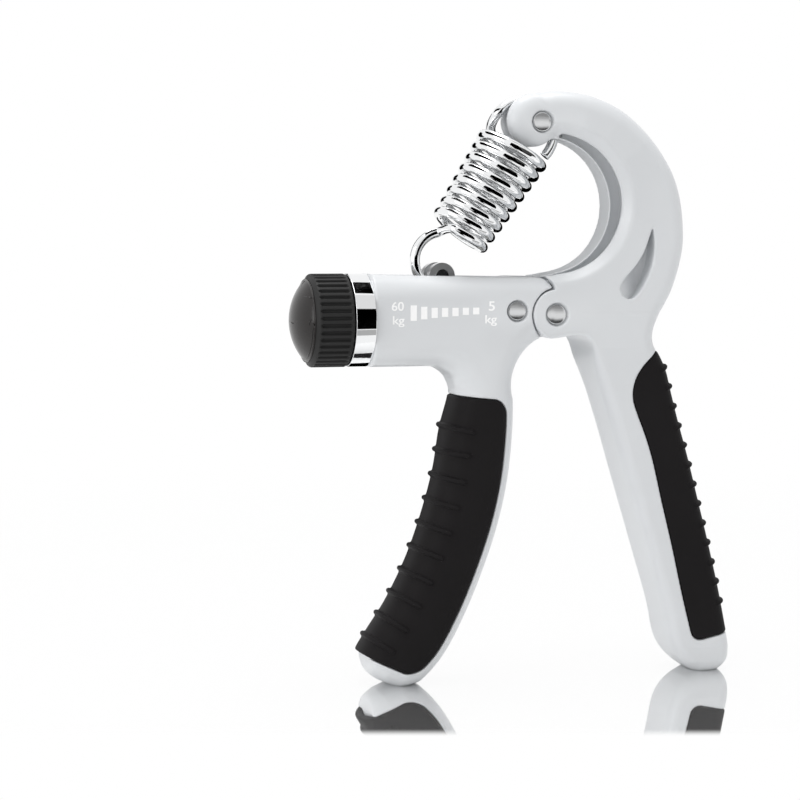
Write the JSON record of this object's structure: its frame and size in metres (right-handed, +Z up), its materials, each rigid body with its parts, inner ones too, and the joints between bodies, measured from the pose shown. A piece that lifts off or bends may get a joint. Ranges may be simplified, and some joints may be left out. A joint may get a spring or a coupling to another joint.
{
  "type": "adjustable hand grip strengthener",
  "caption": "Adjustable hand grip strengthener: fixed handle with a barrel, C-shaped sprung lever, and a knob that moves the spring's lower hook to set the resistance.",
  "frame": {"origin": "on the floor under the middle of the overall box, between the tips of the two handles", "axes": "+X from the knob towards the sprung lever, +Y through the thickness away from the printed scale, +Z up from the handle tips to the C-shaped arm"},
  "size_m": [0.1168, 0.0238, 0.1528],
  "materials": {
    "shell": "satin",
    "rubber": "matte",
    "spring_chrome": "polished",
    "ring_chrome": "polished",
    "pin_steel": "polished",
    "screw_steel": "machined",
    "carriage_metal": "plated",
    "bronze": "machined",
    "nylon": "matte",
    "knob_plastic": "matte",
    "cap_plastic": "gloss"
  },
  "bodies": {
    "frame": {"handle_body": "shell", "handle_grip": "rubber", "barrel_ring": "ring_chrome", "front_bush": "nylon", "bearing_block": "nylon", "bearing_pin": "pin_steel", "pivot_bush": "bronze", "pivot_washer_front": "nylon", "pivot_washer_back": "nylon"},
    "knob": {"knob_shell": "knob_plastic", "knob_cap": "cap_plastic", "lead_screw": "screw_steel", "knob_washer": "screw_steel", "knob_nut": "screw_steel", "thrust_washer": "nylon"},
    "carriage": {"carriage_nut": "carriage_metal", "anchor_pin": "pin_steel"},
    "lever": {"lever_body": "shell", "lever_grip": "rubber", "pivot_pin": "pin_steel", "spring_pin": "pin_steel"},
    "spring": {"spring": "spring_chrome"}
  },
  "joints": [
    {"name": "lever_pivot", "type": "hinge", "parent": "frame", "child": "lever", "pos_m": [0.0091, 0, 0.0956], "axis": [0, 1, 0], "range_deg": [0, 32], "stiffness_Nm_per_rad": 12, "springref_deg": -20.05},
    {"name": "knob_turn", "type": "hinge", "parent": "frame", "child": "knob", "pos_m": [-0.0309, 0, 0.09435], "axis": [1, 0, 0], "range_deg": [-1188, 1872]},
    {"name": "carriage_slide", "type": "slide", "parent": "frame", "child": "carriage", "axis": [1, 0, 0], "range_m": [-0.0104, 0.0066]},
    {"name": "spring_swing", "type": "hinge", "parent": "lever", "child": "spring", "pos_m": [0.0065, 0, 0.1452], "axis": [0, 1, 0], "range_deg": [-9, 1], "deforming": ["spring"]}
  ],
  "couplings": [
    {"joint": "knob_turn", "follows": "carriage_slide", "rad_per_m": -3141.6},
    {"joint": "spring_swing", "follows": "lever_pivot", "ratio": -0.2485}
  ]
}
